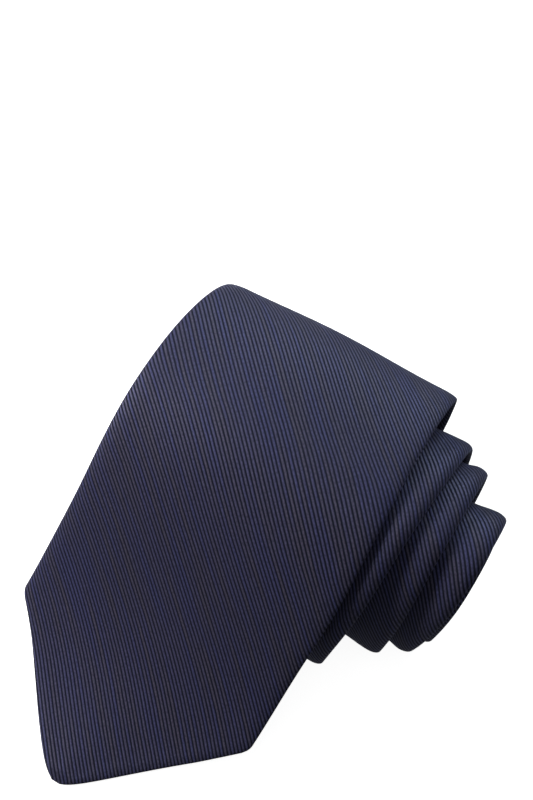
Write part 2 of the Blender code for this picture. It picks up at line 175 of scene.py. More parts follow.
def wrap_points():
    """Top, back fold, bottom and front fold of each wrap, from outside in."""
    back = fold_list(BACK_FOLDS, -WRAP_PITCH, MOST_WRAPS)
    front = fold_list(FRONT_FOLDS, FRONT_PITCH, MOST_WRAPS)
    heights = fold_list(FRONT_FOLD_HEIGHTS, FRONT_FOLD_RISE, MOST_WRAPS)
    slope = fold_list(FRONT_SLOPE_FULLNESS, 0.0, MOST_WRAPS)
    points = []
    for k in range(MOST_WRAPS):
        slack = TOP_SLACK if k else 0.0
        top = ROLL_HEIGHT - THICKNESS / 2 - k * WRAP_PITCH - slack
        bottom = THICKNESS / 2 + k * WRAP_PITCH
        next_top = ROLL_HEIGHT - THICKNESS / 2 - (k + 1) * WRAP_PITCH - TOP_SLACK
        if min(back[k] - front[k], next_top - bottom) < CORE_LEAST:
            break
        points.append(("top", CORE_MIDDLE if k else OUTER_TOP, top, FOLD_FULLNESS))
        points.append(("back", back[k], (top + bottom) / 2 + BACK_RISE, FOLD_FULLNESS))
        half_base = 0.0 if k else FLAT_BASE / 2
        points.append(("bottom", CORE_MIDDLE + half_base, bottom, FRONT_UNDER_FULLNESS))
        if half_base:
            points.append(("base", CORE_MIDDLE - half_base, bottom, FRONT_UNDER_FULLNESS))
        points.append(("front", front[k], min(heights[k], (bottom + next_top) / 2), slope[k]))
    return points


def roll_path():
    """The strip's middle surface seen along X, as y and z at even lengths u."""
    points = wrap_points()
    t = np.linspace(0.0, 1.0, 81)[:, None]
    head = np.array(points[0][1:3])
    foot = np.array((TIP_FLAT - TIP_BACK, THICKNESS / 2))
    pull_foot = foot + np.array((SLOPE_FOOT, 0.0))
    pull_head = head - np.array((SLOPE_HEAD, 0.0))
    slope = (1 - t) ** 3 * foot + 3 * t * (1 - t) ** 2 * pull_foot
    slope = slope + 3 * t * t * (1 - t) * pull_head + t**3 * head
    pieces = [np.array(((-TIP_BACK, THICKNESS / 2),)), slope]
    q = np.linspace(0.0, np.pi / 2, 33)[1:]
    for here, after in zip(points[:-1], points[1:]):
        power = 2.0 / here[3]
        near, far = np.cos(q) ** power, np.sin(q) ** power
        if after[0] == "base":
            y = here[1] + (after[1] - here[1]) * q / q[-1]
            z = np.full_like(y, here[2])
        elif here[0] in ("top", "bottom", "base"):
            y = here[1] + (after[1] - here[1]) * far
            z = after[2] + (here[2] - after[2]) * near
        else:
            y = after[1] + (here[1] - after[1]) * near
            z = here[2] + (after[2] - here[2]) * far
        pieces.append(np.stack((y, z), axis=1))
    path = np.concatenate(pieces)
    steps = np.hypot(*np.diff(path, axis=0).T)
    path = path[np.concatenate(((True,), steps > 1e-7))]
    length = np.concatenate(((0.0,), np.cumsum(np.hypot(*np.diff(path, axis=0).T))))
    u = np.arange(0.0, length[-1], COARSE_STEP)
    yz = np.stack([np.interp(u, length, path[:, i]) for i in (0, 1)], axis=1)
    weights = np.array((1.0, 2.0, 3.0, 2.0, 1.0)) / 9.0
    for _ in range(2):
        padded = np.concatenate((yz[:1], yz[:1], yz, yz[-1:], yz[-1:]))
        inner = np.stack([np.convolve(padded[:, i], weights, "valid") for i in (0, 1)], axis=1)
        inner[:2], inner[-2:] = yz[:2], yz[-2:]
        yz = inner
    u = np.concatenate(((0.0,), np.cumsum(np.hypot(*np.diff(yz, axis=0).T))))
    return u, yz


def refined(u, yz, step):
    """The path through the same points on a finer step, curved between them."""
    slope = np.gradient(yz, u, axis=0)
    fine = np.arange(0.0, u[-1], step)
    i = np.clip(np.searchsorted(u, fine, "right") - 1, 0, len(u) - 2)
    width = (u[i + 1] - u[i])[:, None]
    t = ((fine - u[i])[:, None]) / width
    a = (1 + 2 * t) * (1 - t) ** 2
    b = t * (1 - t) ** 2 * width
    c = t * t * (3 - 2 * t)
    d = t * t * (t - 1) * width
    return fine, a * yz[i] + b * slope[i] + c * yz[i + 1] + d * slope[i + 1]


COARSE_U, COARSE_YZ = roll_path()
TOTAL = COARSE_U[-1]
U, YZ = refined(COARSE_U, COARSE_YZ, FINE_STEP)
TANGENT = np.gradient(YZ, U, axis=0)
TANGENT /= np.linalg.norm(TANGENT, axis=1)[:, None]
NORMAL = np.stack((-TANGENT[:, 1], TANGENT[:, 0]), axis=1)
TURN = np.unwrap(np.arctan2(NORMAL[:, 1], NORMAL[:, 0]))

L = np.arange(0.0, TOTAL, LENGTH_STEP)
SKEW = np.radians(np.interp(L, SKEW_AT, SKEW_DEG))
U_MID = np.concatenate(((0.0,), np.cumsum(np.cos(SKEW[:-1]) * np.diff(L))))
X_MID = np.concatenate(((0.0,), np.cumsum(np.sin(SKEW[:-1]) * np.diff(L))))
LENGTH = float(np.interp(TOTAL - PATH_SPARE, U_MID, L))


def pointed(distance, half_limit, slope, blunt):
    """Half width at a distance from a rounded point whose sides have this slope, up to half_limit."""
    ease = 0.002
    distance = np.maximum(distance, 0.0)
    half = slope * np.sqrt(distance**2 + 2.0 * blunt * distance)
    blend = np.clip((half - half_limit + ease) / (2.0 * ease), 0.0, 1.0)
    return np.where(blend <= 0.0, half, np.where(blend >= 1.0, half_limit, half - ease * blend**2))


def half_width(length):
    """Half the tie's width at a length from the tip of the wide blade."""
    to_end = LENGTH - length
    front = BLADE_WIDTH - BLADE_TAPER * np.maximum(length - BLADE_WIDTH / 2, 0.0)
    tail = TAIL_WIDTH - TAIL_FLARE * np.maximum(to_end - TAIL_WIDTH / 2, 0.0)
    body = np.maximum(np.maximum(front, tail), NECK_WIDTH) / 2
    ends = pointed(length, body, TIP_SLOPE, TIP_ROUND), pointed(to_end, body, 1.0, TAIL_ROUND)
    return np.minimum(*ends)


def opening(length):
    """Half the gap between the two folded back walls: a kite of lining at each point, then a slit."""

    def kite(distance, half, slope, blunt, end):
        mitre = HEM * np.sqrt(1.0 + slope**2)
        widest = (half - HEM + mitre) / slope - blunt
        rise = slope * (distance + blunt) - mitre
        fall = (half - HEM) * (end - distance) / (end - widest)
        return np.maximum(np.minimum(rise, fall), 0.0) + SEAM_GAP / 2

    front = kite(length, BLADE_WIDTH / 2, TIP_SLOPE, TIP_ROUND, FRONT_KITE_END)
    tail = kite(LENGTH - length, TAIL_WIDTH / 2, 1.0, TAIL_ROUND, TAIL_KITE_LENGTH)
    return np.where(length < LENGTH / 2, front, tail)


START = 0.00004
ON_STRIP = (L >= START) & (L <= LENGTH - START)


def line_at(offset):
    """u and x of the line at this offset along the strip, where the strip is."""
    u = (U_MID - offset * np.sin(SKEW))[ON_STRIP]
    x = (X_MID + offset * np.cos(SKEW))[ON_STRIP]
    return u, x


LINES = {
    "left": line_at(-half_width(L)),
    "right": line_at(half_width(L)),
    "flap_left": line_at(-opening(L)),
    "flap_right": line_at(opening(L)),
    "middle": line_at(np.zeros_like(L)),
}
TIP_START = START + 0.00002
TAIL_END = float(LINES["middle"][0][-1])
FRONT_KITE = float(np.interp(FRONT_KITE_END, L, U_MID))
TAIL_KITE = float(np.interp(LENGTH - TAIL_KITE_LENGTH, L, U_MID))
INTERLINING_CUT = (SEAM_TO_NECK + SEAM_TO_TAIL) / 2
TACK_FRONT = FRONT_KITE + 0.0036
TACK_TAIL = TAIL_KITE - 0.0036


def x_of(name, u):
    """x of a named line where it crosses the fold lines at u."""
    return np.interp(u, *LINES[name])


# ---------------------------------------------------------------- room between the wraps

def smoothed(values, reach):
    """A running mean over reach entries each way, done twice."""
    kernel = np.ones(2 * reach + 1) / (2 * reach + 1)
    for _ in range(2):
        padded = np.concatenate((np.full(reach, values[0]), values, np.full(reach, values[-1])))
        values = np.convolve(padded, kernel, "valid")
    return values


def wrap_room():
    """At each u: how far the face may stand out, the right edge of the wrap outside, its freedom."""
    outward_least = 0.3     # cosine of the angle to the normal within which a wrap is outside
    same_wrap = 0.03        # length of strip that counts as this same wrap
    neighbour_reach = 0.012 # farthest wrap that still covers this one
    floor_slope = 0.05      # least downward slope of a normal that the floor stops
    kept_down = 0.02        # length past the blade's end that stays as full as the blade
    bulges_until = 0.93     # past this the turns are too tight to bulge
    bulge_height = 0.004    # room over the floor that a bulge needs
    pick = np.arange(0, len(U), 4)
    points, normals, at = YZ[pick], NORMAL[pick], U[pick]
    room = np.full(len(pick), 1.0)
    cover = x_of("left", at)
    for i, (point, normal, u) in enumerate(zip(points, normals, at)):
        gap = points - point
        away = np.hypot(gap[:, 0], gap[:, 1])
        outside = (gap @ normal > outward_least * away) & (at < u - same_wrap)
        if outside.any():
            nearest = int(np.argmin(np.where(outside, away, 1.0)))
            room[i] = away[nearest]
            if room[i] < neighbour_reach:
                cover[i] = x_of("right", at[nearest])
    face = np.clip(room - THICKNESS / 2 - LAYER_GAP, THICKNESS / 2, FACE_MOST)
    face = np.where(at < BLADE_END + kept_down, FACE_OUTER, face)
    on_floor = normals[:, 1] < -floor_slope
    floor_gap = np.where(on_floor, points[:, 1] / np.maximum(-normals[:, 1], floor_slope), 1.0)
    face = np.minimum(face, np.maximum(floor_gap, THICKNESS / 2))
    least = face.copy()
    for shift in range(1, 7):
        least[shift:] = np.minimum(least[shift:], face[:-shift])
        least[:-shift] = np.minimum(least[:-shift], face[shift:])
    free = (at > BLADE_END) & (floor_gap > bulge_height) & (at < bulges_until)
    freedom = np.where(free, 1.0, 0.0)
    return at, smoothed(least, 3), smoothed(cover, 8), smoothed(freedom, 6)


ROOM_U, FACE, COVER, FREEDOM = wrap_room()


def warp(points):
    """The slow unevenness of soft cloth, the same for every layer so that they never cross."""
    x, y, z = points[..., 0], points[..., 1], points[..., 2]
    rise = np.clip(z / WANDER_CLEAR, 0.0, 1.0) ** 2
    (high, per_y, turn), (low, per_z, skew) = WANDER_X
    dx = high * np.sin(per_y * y + turn) + low * np.sin(per_z * z + skew * y)
    high, per_x, turn = WANDER_Y
    dy = high * np.sin(per_x * x + turn) * rise
    (high, per_x, per_y, turn), (low, low_x, low_y) = WANDER_Z
    dz = (high * np.sin(per_x * x + per_y * y + turn) + low * np.sin(low_x * x - low_y * y)) * rise
    return points + np.stack((dx, dy, dz), axis=-1)


def place(u, x, level):
    """Points of the wound strip in the CAD model's frame: arrays of u, x and level towards the face."""
    y, z = np.interp(u, U, YZ[:, 0]), np.interp(u, U, YZ[:, 1])
    ny, nz = np.interp(u, U, NORMAL[:, 0]), np.interp(u, U, NORMAL[:, 1])
    points = np.stack((x, y + ny * level, z + nz * level), axis=-1)
    return warp(points) - ORIGIN


# ---------------------------------------------------------------- stations along the strip

def station_grid():
    """The fold lines that every piece is built on: close where the profile bends, wide where flat."""
    turn_each = 0.11        # radians that the profile may turn between two fold lines
    closest, widest = 0.0006, 0.0024
    at_points, at_joint = 0.0007, 0.0004
    near = 0.006            # how far the close steps reach round a point of the tie
    merge = 0.00025         # a loose line this near to a fixed one is left out
    bend = np.abs(np.gradient(TURN, U))
    step = np.clip(turn_each / np.maximum(bend, 1.0), closest, widest)
    shoulders = np.abs(U - BLADE_WIDTH / 2) < near
    pointy = (U < near) | shoulders | (U > TAIL_END - near)
    step = np.where(pointy, np.minimum(step, at_points), step)
    step = np.where(np.abs(U - BLADE_END) < near / 2, at_joint, step)
    count = np.concatenate(((0.0,), np.cumsum(np.diff(U) / step[:-1])))
    loose = np.interp(np.arange(0.0, count[-1]), count, U)
    fixed = [TIP_START, TAIL_END, FRONT_KITE, TAIL_KITE, INTERLINING_START, TIPPING_START]
    fixed += [BLADE_END, SEAM_TO_NECK, SEAM_TO_TAIL, INTERLINING_CUT, TAIL_KITE - TIPPING_PAST_KITE[1]]
    fixed += [TAIL_END - INTERLINING_START, TAIL_END - TIPPING_START, *KEEPER_AT, *LABEL_AT]
    fixed = np.array(sorted(fixed))
    clear = np.abs(loose[:, None] - fixed[None, :]).min(axis=1) > merge
    return np.sort(np.concatenate((fixed, loose[clear])))


GRID = station_grid()


def stations(start, end):
    """The grid's fold lines from start to end, with both ends."""
    inside = GRID[(GRID > start + 0.00005) & (GRID < end - 0.00005)]
    return np.concatenate(((start,), inside, (end,)))


# ---------------------------------------------------------------- meshes

def linked(name, data):
    """A new object with this data, in the scene."""
    made = bpy.data.objects.new(name, data)
    bpy.context.scene.collection.objects.link(made)
    return made


def grid_mesh(name, points, marks):
    """A closed tube from rows of ring points, with a UV map of marks in metres.

    A ring runs out along the outside of a wall and back along its inside, so that each end is closed
    by a strip of faces between the two halves of its ring.
    """
    rows, count = points.shape[:2]
    i, j = np.meshgrid(np.arange(rows - 1), np.arange(count), indexing="ij")
    k = (j + 1) % count
    quads = np.stack((i * count + j, i * count + k, (i + 1) * count + k, (i + 1) * count + j), axis=-1)
    pair = np.arange(count // 2 - 1)
    cap = np.stack((pair, pair + 1, count - 2 - pair, count - 1 - pair), axis=-1)
    faces = np.concatenate((quads.reshape(-1, 4), cap, cap[:, ::-1] + (rows - 1) * count))
    mesh = bpy.data.meshes.new(name)
    mesh.from_pydata(points.reshape(-1, 3).tolist(), [], faces.tolist())
    mesh.update()
    layer = mesh.uv_layers.new(name="cloth")
    corner = np.zeros(len(mesh.loops), np.int32)
    mesh.loops.foreach_get("vertex_index", corner)
    layer.data.foreach_set("uv", marks.reshape(-1, 2)[corner].astype(np.float32).ravel())
    mesh.shade_smooth()
    mesh.set_sharp_from_angle(angle=np.radians(55.0))
    if signed_volume(points) < 0.0:
        mesh.flip_normals()
    return linked(name, mesh)


def signed_volume(points):
    """Six times the volume within the tube's sides, to tell which way its faces look."""
    centre = points.reshape(-1, 3).mean(axis=0)
    a, b = points[:-1] - centre, points[1:] - centre
    c, d = np.roll(b, -1, axis=1), np.roll(a, -1, axis=1)
    first = np.einsum("ijk,ijk->", a, np.cross(d, c))
    return float(first + np.einsum("ijk,ijk->", a, np.cross(c, b)))


def strip_marks(u, s):
    """UV of a point: distance across the tie and along it, for s round the section from the middle."""
    skew = np.interp(u, U_MID, SKEW)
    along = np.interp(u, U_MID, L) + np.sin(skew) * s
    return np.stack((np.cos(skew) * s, along), axis=-1)


def shell(name, start, end):
    """A length of the tie's cloth: face, two soft rolled edges and two back walls, with its wall."""
    u = stations(start, end)
    left, right = x_of("left", u), x_of("right", u)
    face = np.interp(u, ROOM_U, FACE)
    back = np.full_like(u, -THICKNESS / 2)
    width = right - left
    middle = (left + right) / 2
    taper = np.clip(width / 0.020, 0.10, 1.0)
    inner = np.clip((u - BLADE_END) / 0.05, 0.0, 1.0)
    roll = np.minimum((EDGE_ROLL + (INNER_ROLL - EDGE_ROLL) * inner) * taper, 0.40 * width)
    under = np.minimum(EDGE_UNDER * taper, 0.30 * width)
    face = back + (face - back) * np.clip(width / 0.012, 0.35, 1.0)
    flap_l = np.minimum(np.maximum(x_of("flap_left", u), left + under + 0.0002), middle - 0.00012)
    flap_r = np.maximum(np.minimum(x_of("flap_right", u), right - under - 0.0002), middle + 0.00012)
    crown = CROWN * np.clip((BLADE_END + 0.01 - u) / 0.05, 0.0, 1.0) * np.clip(width / 0.06, 0.0, 1.0)
    cover = np.interp(u, ROOM_U, COVER)
    bulge = BULGE * np.interp(u, ROOM_U, FREEDOM) * np.clip((right - cover) / 0.006, 0.0, 1.0)
    turn = np.clip(cover, left + roll + 0.25 * width, np.maximum(right - roll - 0.0012, middle))
    quarter = np.linspace(0.0, np.pi / 2, QUARTER_POINTS)
    face_runs = (left + roll, turn, COVERED_POINTS, 0.0), (turn, right - roll, FREE_POINTS, 1.0)

    def ring(inset):
        """x and level round one side of the wall, from the slit's left lip to its right one."""
        level_mid, half = (face + back) / 2, (face - back) / 2 - inset
        free_mid, free_half = level_mid + bulge / 2, half + bulge / 2
        a, b = roll - inset * 0.9, under - inset * 0.9
        xs, levels = [], []
        for t in np.linspace(0.0, 1.0, BACK_POINTS)[:-1]:
            xs.append(flap_l + (left + under - flap_l) * t)
            levels.append(level_mid - half)
        for q in quarter[:0:-1]:
            xs.append(left + inset + b * (1 - np.cos(q)))
            levels.append(level_mid - half * np.sin(q))
        for q in quarter:
            xs.append(left + inset + a * (1 - np.cos(q)))
            levels.append(level_mid + half * np.sin(q))
        for first, second, count, free in face_runs:
            for t in np.linspace(0.0, 1.0, count)[1:]:
                x = first + (second - first) * t
                across = (x - middle) / (width / 2 - roll)
                ease = free * (t * t * (3 - 2 * t))
                xs.append(x)
                levels.append(level_mid + half + crown * (1 - across**2) ** 2 + bulge * ease)
        for q in quarter[-2::-1]:
            xs.append(right - inset - a * (1 - np.cos(q)))
            levels.append(free_mid + free_half * np.sin(q))
        for q in quarter[1:]:
            xs.append(right - inset - b * (1 - np.cos(q)))
            levels.append(free_mid - free_half * np.sin(q))
        for t in np.linspace(0.0, 1.0, BACK_POINTS)[1:]:
            xs.append(right - under + (flap_r - right + under) * t)
            levels.append(level_mid - half)
        return np.stack(xs, axis=1), np.stack(levels, axis=1)

    outer_x, outer_level = ring(0.0)
    inner_x, inner_level = ring(CLOTH_WALL)
    step = np.hypot(np.diff(outer_x, axis=1), np.diff(outer_level, axis=1))
    s = np.concatenate((np.zeros((len(u), 1)), np.cumsum(step, axis=1)), axis=1)
    turned_under = BACK_POINTS + QUARTER_POINTS - 2
    face_part = slice(turned_under, -turned_under)
    for row in range(len(u)):
        s[row] -= np.interp(x_of("middle", u[row]), outer_x[row, face_part], s[row, face_part])
    xs = np.concatenate((outer_x, inner_x[:, ::-1]), axis=1)
    levels = np.concatenate((outer_level, inner_level[:, ::-1]), axis=1)
    s = np.concatenate((s, s[:, ::-1]), axis=1)
    every_u = np.repeat(u[:, None], xs.shape[1], axis=1)
    return grid_mesh(name, place(every_u, xs, levels), strip_marks(every_u, s))


def layer(name, start, end, margin, levels):
    """A flat layer inside the cloth, margin in from both edges."""
    u = stations(start, end)
    left, right = x_of("left", u) + margin, x_of("right", u) - margin
    middle = (left + right) / 2
    left, right = np.minimum(left, middle - 0.0005), np.maximum(right, middle + 0.0005)
    xs = left[:, None] + (right - left)[:, None] * np.linspace(0.0, 1.0, LAYER_POINTS)
    xs = np.concatenate((xs, xs[:, ::-1]), axis=1)
    level = np.repeat(np.repeat(levels, LAYER_POINTS)[None, :], len(u), axis=0)
    every_u = np.repeat(u[:, None], 2 * LAYER_POINTS, axis=1)
    marks = strip_marks(every_u, xs - x_of("middle", u)[:, None])
    return grid_mesh(name, place(every_u, xs, level), marks)


def strap(name, start, end, half, thick, bulge, clear):
    """A tape across the strip's back with soft edges, bowed away from it in the middle."""
    middle = float(x_of("middle", (start + end) / 2))
    side = np.linspace(-1.0, 1.0, 41)
    lift = THICKNESS / 2 + clear + bulge * (1.0 - side * side) ** 2
    q = np.linspace(-np.pi / 2, np.pi / 2, 7)
    soft = min(thick / 2, 0.0004)
    ring_u = np.concatenate((
        start + soft * (1 - np.cos(q)),
        np.linspace(start + soft, end - soft, 9)[1:-1],
        end - soft * (1 - np.cos(q[::-1])),
        np.linspace(end - soft, start + soft, 9)[1:-1],
    ))
    ring_level = np.concatenate((
        thick / 2 + thick / 2 * np.sin(q),
        np.full(7, thick),
        thick / 2 + thick / 2 * np.sin(q[::-1]),
        np.zeros(7),
    ))
    us = np.repeat(ring_u[None, :], len(side), axis=0)
    level = -(lift[:, None] + ring_level[None, :])
    xs = np.repeat((middle + side * half)[:, None], len(ring_u), axis=1)
    marks = np.stack((us, xs), axis=-1)
    return grid_mesh(name, place(us, xs, level), marks)


def threads(name, paths, radius):
    """Short lengths of thread, each a closed tube through points given as u, x and level."""
    verts, faces, marks = [], [], []
    sides = THREAD_SIDES
    for path in paths:
        points = place(*(np.array([p[i] for p in path], float) for i in range(3)))
        run = np.gradient(points, axis=0)
        run /= np.linalg.norm(run, axis=1)[:, None]
        up = np.array((0.31, 0.52, 0.79)) * np.ones_like(run)
        side = np.cross(run, up)
        side /= np.linalg.norm(side, axis=1)[:, None]
        up = np.cross(side, run)
        base = len(verts)
        travel = 0.0
        for i, point in enumerate(points):
            if i:
                travel += float(np.linalg.norm(points[i] - points[i - 1]))
            size = radius * (THREAD_END if i in (0, len(points) - 1) else 1.0)
            for k in range(sides):
                angle = 2 * np.pi * k / sides
                out = np.cos(angle) * side[i] + np.sin(angle) * up[i]
                verts.append(tuple(point + size * out))
                marks.append((k / sides * 2 * np.pi * radius, travel))
        for i in range(len(points) - 1):
            for k in range(sides):
                m = (k + 1) % sides
                a = base + i * sides
                faces.append((a + k, a + m, a + sides + m, a + sides + k))
        faces.append(tuple(base + k for k in reversed(range(sides))))
        faces.append(tuple(base + (len(points) - 1) * sides + k for k in range(sides)))
    mesh = bpy.data.meshes.new(name)
    mesh.from_pydata(verts, [], faces)
    mesh.update()
    uv = mesh.uv_layers.new(name="cloth")
    for loop in mesh.loops:
        uv.data[loop.index].uv = marks[loop.vertex_index]
    mesh.shade_smooth()
    return linked(name, mesh)


# ---------------------------------------------------------------- materials

class Nodes:
    """A small helper for building one material's node tree."""

    def __init__(self, name):
        self.material = bpy.data.materials.new(name)
        self.material.use_nodes = True
        self.tree = self.material.node_tree
        self.shader = self.tree.nodes["Principled BSDF"]

    def link(self, source, socket):
        self.tree.links.new(source, socket)

    def add(self, kind, **settings):
        node = self.tree.nodes.new(kind)
        for key, value in settings.items():
            setattr(node, key, value)
        return node

    def feed(self, sockets, values):
        """Sets each socket to its number or colour, or links it to its output."""
        for socket, value in zip(sockets, values):
            if isinstance(value, tuple):
                socket.default_value = (*value, 1.0)
            elif isinstance(value, (int, float)):
                socket.default_value = value
            else:
                self.link(value, socket)

    def math(self, operation, *values):
        node = self.add("ShaderNodeMath", operation=operation)
        self.feed(node.inputs, values)
        return node.outputs[0]

    def mix(self, factor, first, second):
        node = self.add("ShaderNodeMix", data_type="RGBA")
        self.feed((node.inputs[0], node.inputs[6], node.inputs[7]), (factor, first, second))
        return node.outputs[2]

    def remap(self, value, low, high, to_low, to_high):
        node = self.add("ShaderNodeMapRange")
        self.feed(node.inputs, (value, low, high, to_low, to_high))
        return node.outputs[0]

    def vector(self, x, y):
        node = self.add("ShaderNodeCombineXYZ")
        self.feed(node.inputs, (x, y))
        return node.outputs[0]

    def noise(self, vector, scale, detail, roughness=0.5):
        node = self.add("ShaderNodeTexNoise")
        self.link(vector, node.inputs["Vector"])
        node.inputs["Scale"].default_value = scale
        node.inputs["Detail"].default_value = detail
        node.inputs["Roughness"].default_value = roughness
        return node.outputs["Fac"]

    def cloth_marks(self):
        """Distance across the cloth and along it, in metres."""
        uv = self.add("ShaderNodeUVMap", uv_map="cloth")
        split = self.add("ShaderNodeSeparateXYZ")
        self.link(uv.outputs[0], split.inputs[0])
        return split.outputs[0], split.outputs[1]

    def weave(self, across, along, pitches):
        """The over and under of a plain weave, 0 to 1, from its two spacings."""
        waves = [
            self.math("SINE", self.math("MULTIPLY", mark, 2.0 * np.pi / pitch))
            for mark, pitch in zip((across, along), pitches)
        ]
        return self.math("MULTIPLY_ADD", self.math("MULTIPLY", *waves), 0.5, 0.5)

    def blotched(self, noise, dark, light):
        """A colour that goes from dark to light with a noise."""
        return self.mix(self.remap(noise, 0.3, 0.7, 0.0, 1.0), dark, light)

    def surface(self, colour, roughness):
        self.link(colour, self.shader.inputs["Base Color"])
        self.link(roughness, self.shader.inputs["Roughness"])

    def bump(self, height, distance, strength):
        node = self.add("ShaderNodeBump")
        node.inputs["Strength"].default_value = strength
        node.inputs["Distance"].default_value = distance
        self.link(height, node.inputs["Height"])
        self.link(node.outputs[0], self.shader.inputs["Normal"])

    def set(self, **values):
        for key, value in values.items():
            self.shader.inputs[key.replace("_", " ")].default_value = value


def satin():
    """Navy rep twill: raised diagonal ribs of bluish and greyish yarn with near-black grooves between,
    their darkness partly the darker weft and partly painted shade.
    """
    blue = (0.047, 0.050, 0.128)
    grey = (0.058, 0.054, 0.090)
    # Groove colour: partly the darker weft, partly painted shade in the hollows between the ribs
    groove_weft_and_shade = (0.0030, 0.0030, 0.0070)
    n = Nodes("navy_rep_satin")
    v, length = n.cloth_marks()
    # Ribs counted across, metres along them; each rib wanders a little to its sides
    across = n.math("MULTIPLY", n.math("ADD", v, length), 1.0 / (np.sqrt(2.0) * RIB_PITCH))
    along = n.math("MULTIPLY", n.math("SUBTRACT", length, v), 1.0 / np.sqrt(2.0))

    def grain(ribs, per_rib, per_metre, detail):
        place_in = n.vector(n.math("MULTIPLY", ribs, per_rib), n.math("MULTIPLY", along, per_metre))
        return n.noise(place_in, 1.0, detail)

    drift = grain(across, 0.5, 160.0, 2.0)
    wander = n.math("ADD", across, n.math("MULTIPLY", n.math("SUBTRACT", drift, 0.5), 0.16))
    wave = n.math("COSINE", n.math("MULTIPLY", wander, 2.0 * np.pi))
    rib = n.math("MULTIPLY_ADD", wave, 0.5, 0.5)
    # Each rib has its own tone of yarn, and each yarn its specks
    tone = grain(n.math("ROUND", wander), 0.61, 26.0, 1.0)
    yarn = grain(wander, 2.6, 1500.0, 2.0)
    thread_tone = n.mix(n.remap(tone, 0.36, 0.64, 0.0, 1.0), grey, blue)
    speck = n.remap(yarn, 0.30, 0.70, 0.56, 1.42)
    top = n.add("ShaderNodeVectorMath", operation="SCALE")
    n.link(thread_tone, top.inputs[0])
    n.link(speck, top.inputs["Scale"])
    # Colour runs from the near-black groove to the rib's yarn tone across each rib: the hollows carry
    # painted shade as well as the darker weft
    lift = n.remap(rib, 0.18, 0.78, 0.0, 1.0)
    n.surface(n.mix(lift, groove_weft_and_shade, top.outputs[0]), n.remap(rib, 0.0, 1.0, 0.85, 0.40))
    # The relief: the ribs, the floats that cross them and the yarn
    crossing = n.math("MULTIPLY", n.math("MULTIPLY_ADD", along, 3100.0, across), 2.0 * np.pi)
    fine = n.math("MULTIPLY_ADD", n.math("SINE", crossing), 0.05, n.math("MULTIPLY", yarn, 0.20))
    n.bump(n.math("ADD", n.math("POWER", rib, 0.7), fine), 0.00016, 0.9)
    n.set(Sheen_Weight=0.22, Sheen_Roughness=0.35, Specular_IOR_Level=0.45)
    n.set(Sheen_Tint=(0.62, 0.66, 1.0, 1.0), Specular_Tint=(0.53, 0.60, 1.0, 1.0))
    return n.material


def lining():
    """Plain dark navy lining with a fine even weave."""
    n = Nodes("navy_lining_cloth")
    v, length = n.cloth_marks()
    weave = n.weave(v, length, LINING_WEAVE)
    cloud = n.noise(n.vector(v, length), 90.0, 3.0)
    base = n.blotched(cloud, (0.010, 0.011, 0.028), (0.015, 0.016, 0.040))
    colour = n.mix(n.math("MULTIPLY", weave, 0.45), base, (0.004, 0.004, 0.012))
    n.surface(colour, n.remap(weave, 0.0, 1.0, 0.34, 0.46))
    n.bump(weave, 0.00004, 0.6)
    n.set(Sheen_Weight=0.12, Sheen_Roughness=0.3, Specular_IOR_Level=0.5)
    return n.material


def wool():
    """Undyed interlining wool: a loose hairy weave."""
    n = Nodes("interlining_wool")
    v, length = n.cloth_marks()
    weave = n.weave(v, length, WOOL_WEAVE)
    hair = n.noise(n.vector(v, length), 1400.0, 4.0, 0.7)
    base = n.blotched(hair, (0.46, 0.43, 0.37), (0.68, 0.65, 0.58))
    colour = n.mix(n.math("MULTIPLY", weave, 0.5), base, (0.34, 0.31, 0.26))
    n.surface(colour, n.remap(hair, 0.0, 1.0, 0.85, 1.0))
    n.bump(n.math("ADD", weave, hair), 0.00012, 0.8)
    n.set(Sheen_Weight=0.3, Specular_IOR_Level=0.2)
    return n.material


def sewing_thread(name, dark, light):
    """A twisted thread: two plies that spiral along it."""
    n = Nodes(name)
    v, length = n.cloth_marks()
    twist, ply_width = (2.0 * np.pi / pitch for pitch in THREAD_TWIST)
    turn = n.math("MULTIPLY_ADD", length, twist, n.math("MULTIPLY", v, ply_width))
    ply = n.math("MULTIPLY_ADD", n.math("SINE", turn), 0.5, 0.5)
    hair = n.noise(n.vector(v, length), 5000.0, 3.0)
    lit = n.math("MULTIPLY_ADD", ply, 0.7, n.math("MULTIPLY", hair, 0.3))
    n.surface(n.mix(lit, dark, light), n.remap(hair, 0.0, 1.0, 0.45, 0.65))
    n.bump(ply, 0.00005, 0.8)
    n.set(Sheen_Weight=0.1, Specular_IOR_Level=0.45)
    return n.material


def tape():
    """Blank woven label tape: black taffeta with fine ribs."""
    n = Nodes("woven_label_tape")
    v, length = n.cloth_marks()
    weave = n.weave(v, length, TAPE_WEAVE)
    cloud = n.noise(n.vector(v, length), 300.0, 2.0)
    base = n.blotched(cloud, (0.010, 0.010, 0.014), (0.020, 0.020, 0.027))
    colour = n.mix(n.math("MULTIPLY", weave, 0.4), base, (0.004, 0.004, 0.006))
    n.surface(colour, n.remap(weave, 0.0, 1.0, 0.40, 0.55))
    n.bump(weave, 0.00004, 0.6)
    n.set(Sheen_Weight=0.1, Specular_IOR_Level=0.45)
    return n.material


SATIN = satin()
LINING = lining()
WOOL = wool()
THREAD = sewing_thread("navy_sewing_thread", (0.010, 0.011, 0.024), (0.035, 0.037, 0.075))
TAPE = tape()


# ---------------------------------------------------------------- the pieces

def finish_piece(piece, material, slot, body, *nodes):
    """Gives a piece its surface, hangs it on the body that carries it, or for a lifting piece bakes its
    place into the mesh, and hides the nodes it stands for; its slot is not used.
    """
    piece.data.materials.append(material)
    if body == "lifting":
        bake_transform(piece)
    else:
        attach(piece, body)
    if nodes:
        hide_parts(*nodes)
    return piece


